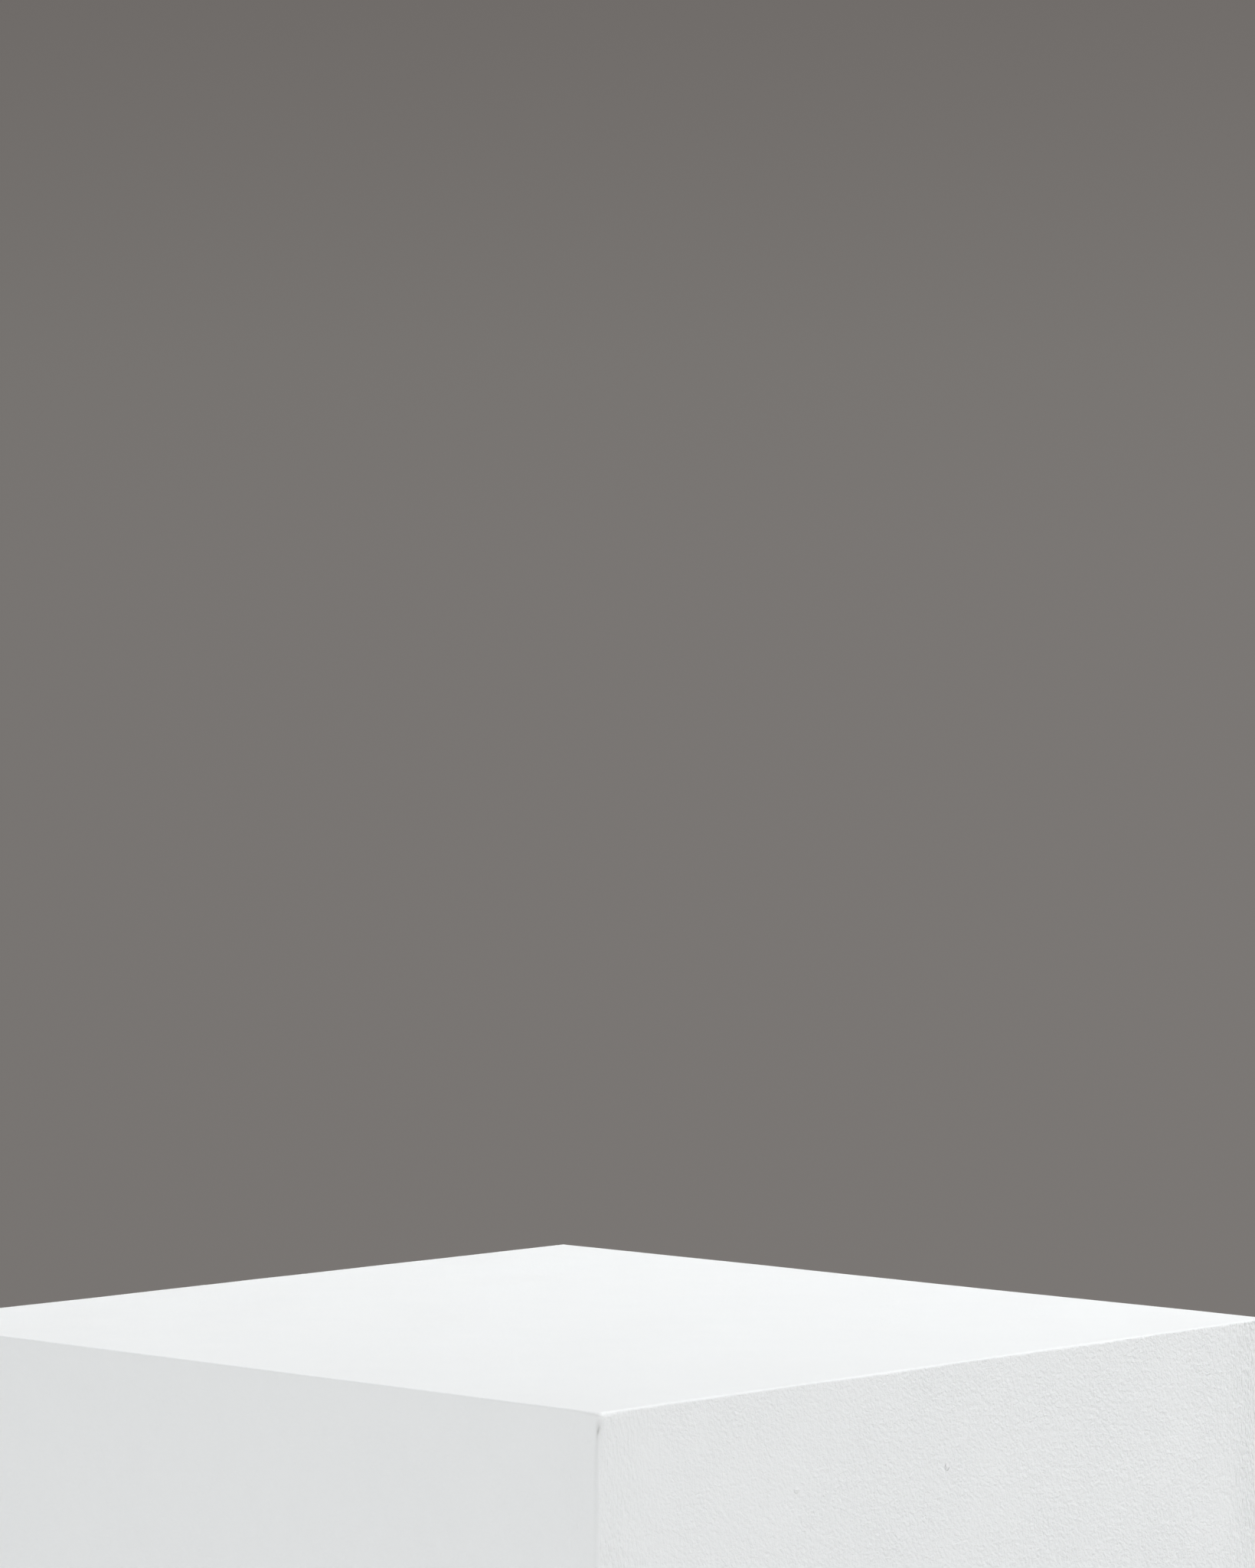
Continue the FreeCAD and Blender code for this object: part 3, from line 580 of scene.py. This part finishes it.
def stud_rings(low, high, quarter_turned):
    """Angles round the stud, and rings of (level, radii) from the spigot's end to the thread's.

    The collar's corners are on the X axis, or on the Y axis where quarter_turned.
    """
    angles = np.arange(RING_POINTS) * 2 * math.pi / RING_POINTS
    sixth = math.pi / 3
    from_flat = (angles + (sixth / 2 if quarter_turned else 0)) % sixth - sixth / 2
    hexagon = COLLAR_FLATS / 2 / np.cos(from_flat)
    circle = np.ones(RING_POINTS)
    collar_low = low + COLLAR_ABOVE_SEAT
    collar_high = collar_low + COLLAR_HEIGHT
    rings = [(low, circle * (SPIGOT_RADIUS - SPIGOT_BREAK)),
             (low + SPIGOT_BREAK, circle * SPIGOT_RADIUS),
             (collar_low, circle * SPIGOT_RADIUS)]
    rings += [(collar_low + inwards, np.minimum(hexagon, reach))
              for inwards, reach in COLLAR_CHAMFER]
    rings += [(collar_high - inwards, np.minimum(hexagon, reach))
              for inwards, reach in reversed(COLLAR_CHAMFER)]
    thread_high = high - STUD_BREAK
    rows = round((thread_high - collar_high) / THREAD_PITCH * THREAD_ROWS_PER_PITCH)
    for level in np.linspace(collar_high, thread_high, rows + 1):
        phase = (level / THREAD_PITCH - angles / (2 * math.pi)) % 1
        groove = (np.abs(2 * phase - 1) - CREST_SHARE) / (1 - 2 * CREST_SHARE)
        from_ends = min(level - collar_high, thread_high - level + 0.3 * THREAD_PITCH)
        depth = THREAD_DEPTH * min(1, from_ends / THREAD_PITCH)
        rings.append((level, STUD_RADIUS - depth * np.clip(groove, 0, 1)))
    rings.append((high, circle * (STUD_RADIUS - STUD_BREAK)))
    return angles, rings


def foot_stud(corner, material):
    """A hexagon collar with a spigot below it and a rolled thread above."""
    node = f"foot_stud_{corner}"
    low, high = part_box(node)
    quarter_turned = high.y - low.y > high.x - low.x
    angles, rings = stud_rings(low.z, high.z, quarter_turned)
    centre_x, centre_y = (low.x + high.x) / 2, (low.y + high.y) / 2
    points, faces = [], []
    for level, radii in rings:
        points += [(centre_x + radius * math.cos(angle), centre_y + radius * math.sin(angle), level)
                   for radius, angle in zip(radii, angles)]
    for row in range(len(rings) - 1):
        for here in range(RING_POINTS):
            ahead = (here + 1) % RING_POINTS
            below, above = row * RING_POINTS, (row + 1) * RING_POINTS
            faces.append([below + here, below + ahead, above + ahead, above + here])
    faces.append(list(range(RING_POINTS))[::-1])
    last = (len(rings) - 1) * RING_POINTS
    faces.append(list(range(last, last + RING_POINTS)))
    piece = build_mesh(f"threaded_{node}", points, faces, [material], [0] * len(faces),
                       np.zeros(len(points)))
    piece.data.shade_smooth()
    piece.data.set_sharp_from_angle(angle=SOFT_EDGE)
    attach(piece, node)
    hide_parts(node)


# ---- carried-over CAD pieces --------------------------------------------------------------------

def dress(node, material):
    """Give a CAD node its finished material."""
    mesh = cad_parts[node].data
    mesh.materials.clear()
    mesh.materials.append(material)


def soften(node, width):
    """Round a CAD node's sharp edges a little."""
    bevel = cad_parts[node].modifiers.new("softened", "BEVEL")
    bevel.width = width
    bevel.segments = 2
    bevel.angle_limit = math.radians(40)


def dress_frame():
    posts = [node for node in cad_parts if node.startswith("corner_post")]
    for seed, node in enumerate(sorted(posts)):
        dress(node, planed_pine(f"pine_{node}", 2, seed + 1))
    for level in ("top_rail", "bottom_rail"):
        for seed, side in enumerate(("front", "right", "back", "left")):
            axis = 0 if side in ("front", "back") else 1
            dress(f"{level}_{side}", planed_pine(f"pine_{level}_{side}", axis, 7 + seed))
    dress("base_board", birch_plywood())
    beech = pressed_beech()
    dress("mitre_biscuits", beech)
    dress("top_biscuits", beech)
    zinc, nylon = zinc_plate(), black_nylon()
    for node in list(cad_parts):
        if node.endswith("screws") or node.startswith("tee_nut"):
            dress(node, zinc)
        if node.startswith("foot_pad"):
            dress(node, nylon)
            soften(node, 0.35 * MM)
        if node.startswith("foot_stud"):
            foot_stud(node.removeprefix("foot_stud_"), zinc)
    soften("base_board", 0.3 * MM)


# ---- studio -------------------------------------------------------------------------------------

FLOOR_RADIUS = 5.5
FLOOR_FADE_FROM = 2.2
FLOOR_FADE_TO = 0.97 * FLOOR_RADIUS
FLOOR_LEVEL = -0.4 * MM         # just clear of the soles, so that the two never share a plane


def make_floor():
    """A pale disc of floor that fades into the backdrop before its rim.

    It doesn't show from beneath, so that the feet and the underside can be looked at.
    """
    recipe = Recipe("studio_floor", Specular_IOR_Level=0.25)
    grain = recipe.noise(recipe.place, 9 * MM, 4.0, 0.6)
    drift = recipe.noise(recipe.place, 0.9, 2.0)
    colour = recipe.ramp(drift, [(0.3, (0.70, 0.70, 0.695)), (0.7, (0.74, 0.74, 0.735))])
    recipe.drive("Base Color", colour)
    recipe.drive("Roughness", recipe.levels(grain, 0.3, 0.7, 0.55, 0.7))
    recipe.drive("Normal", recipe.bump(grain, 0.1 * MM))
    distance = recipe.node("VectorMath", {0: recipe.place}, operation="LENGTH").outputs["Value"]
    fade = recipe.levels(distance, FLOOR_FADE_FROM, FLOOR_FADE_TO, 1.0, 0.0)
    beneath = recipe.node("NewGeometry").outputs["Backfacing"]
    recipe.drive("Alpha", recipe.math("SUBTRACT", fade, beneath, clamp=True))
    bpy.ops.mesh.primitive_circle_add(vertices=128, radius=FLOOR_RADIUS, fill_type="NGON",
                                      location=(0, 0, FLOOR_LEVEL))
    floor = bpy.context.object
    floor.name = "studio_floor"
    floor.data.materials.append(recipe.material)
    floor.visible_shadow = False


BACKDROP_LEAN = 0.25            # how much lighter the backdrop is towards the camera's right
BACKDROP_RIGHT = (0.685, -0.729)
BACKDROP_TONES = (              # (height of the line of sight, colour)
    (0.0, (0.193, 0.181, 0.172)), (0.03, (0.188, 0.177, 0.167)), (0.10, (0.157, 0.144, 0.136)))


def make_backdrop():
    """A plain warm grey all round: darker high up, and a little lighter to the camera's right."""
    world = bpy.data.worlds.new("backdrop")
    bpy.context.scene.world = world
    world.use_nodes = True
    tree = world.node_tree
    background = tree.nodes["Background"]
    direction = tree.nodes.new("ShaderNodeTexCoord").outputs["Generated"]
    split = tree.nodes.new("ShaderNodeSeparateXYZ")
    tree.links.new(direction, split.inputs[0])
    ramp = tree.nodes.new("ShaderNodeValToRGB")
    tree.links.new(split.outputs["Z"], ramp.inputs["Fac"])
    stops = ramp.color_ramp.elements
    stops.new(0.5)
    for stop, (height, colour) in zip(stops, BACKDROP_TONES):
        stop.position = height
        stop.color = (*colour, 1)
    tree.links.new(ramp.outputs["Color"], background.inputs["Color"])
    lean = tree.nodes.new("ShaderNodeVectorMath")
    lean.operation = "DOT_PRODUCT"
    tree.links.new(direction, lean.inputs[0])
    lean.inputs[1].default_value = Vector((*BACKDROP_RIGHT, 0)) * BACKDROP_LEAN
    strength = tree.nodes.new("ShaderNodeMath")
    strength.operation = "ADD"
    strength.inputs[1].default_value = 1.0
    tree.links.new(lean.outputs["Value"], strength.inputs[0])
    tree.links.new(strength.outputs[0], background.inputs["Strength"])


LIGHTS_AIM = 0.9 * TOP_LEVEL
WIDE = 180                      # spread of a softbox, in degrees
GRIDDED = 64                    # with a honeycomb grid, which keeps it off the floor


def softbox(name, towards, distance, width, height, power, spread):
    """A rectangular light that faces the upper plinth from a direction; sizes in metres, watts."""
    data = bpy.data.lights.new(name, "AREA")
    data.shape = "RECTANGLE"
    data.size, data.size_y = width, height
    data.energy = power
    data.spread = math.radians(spread)
    light = bpy.data.objects.new(name, data)
    light.visible_camera = False
    bpy.context.scene.collection.objects.link(light)
    direction = Vector(towards).normalized()
    light.location = Vector((0, 0, LIGHTS_AIM)) + direction * distance
    light.rotation_euler = direction.to_track_quat("Z", "Y").to_euler()


def make_lights():
    softbox("key", (0.49, -0.24, 0.84), 2.8, 0.6, 0.6, 56, WIDE)
    softbox("overhead", (-0.05, 0.62, 0.78), 3.2, 1.6, 1.6, 27, WIDE)
    softbox("left_fill", (-0.95, -0.15, 0.12), 6.0, 2.8, 1.6, 28.6, GRIDDED)
    softbox("front_fill", (0.36, -0.92, 0.04), 6.0, 2.8, 1.6, 20.6, GRIDDED)
    softbox("back_fill", (0.20, 0.95, 0.20), 6.0, 2.8, 1.6, 18, GRIDDED)
    softbox("under_fill", (0.15, -0.10, -1.00), 2.6, 1.5, 1.5, 7, WIDE)


# ---- everything ---------------------------------------------------------------------------------

FRONT_NIBS = (                  # grains under the front's paint: (x, below the top, radius, height)
    (-3.6 * MM, 40.3 * MM, 1.5 * MM, 0.75 * MM), (-91.5 * MM, 39.9 * MM, 1.5 * MM, 0.42 * MM),
    (118 * MM, 290 * MM, 1.2 * MM, 0.35 * MM), (-50 * MM, 630 * MM, 1.0 * MM, 0.3 * MM))
FRONT_SAG = (-21.6 * MM, 66 * MM, 9 * MM)       # (x, below the top, radius)


def on_front(x, below_top):
    return (x, -HALF_DEPTH, TOP_LEVEL - below_top)


def make_panels():
    """The five boards; relief and lean follow how each face was rolled. The left is smooth."""
    bare = raw_fibreboard()
    nibs = [(on_front(x, below), radius, height) for x, below, radius, height in FRONT_NIBS]
    sag_x, sag_below, sag_radius = FRONT_SAG
    front = painted_board("paint_front", 1, 1.0, (0, -52, 0), brushed_axis=0, growth=0.5,
                          nibs=nibs, sags=[(on_front(sag_x, sag_below), sag_radius)])
    side_panel("front", 0, front, bare)
    side_panel("right", 1, painted_board("paint_right", 2, 0.7, (52, 0, 0), brushed_axis=1), bare)
    side_panel("back", 2, painted_board("paint_back", 3, 0.8, (0, 52, 0), brushed_axis=0), bare)
    side_panel("left", 3, painted_board("paint_left", 4, 0.22, (-20, 0, 0), brushed_axis=1), bare)
    top_panel(painted_board("paint_top", 5, 0.2, (0, 0, 30)), bare)


def main():
    bpy.context.scene.view_settings.view_transform = "Standard"
    make_camera()
    make_panels()
    dress_frame()
    make_floor()
    make_backdrop()
    make_lights()


main()
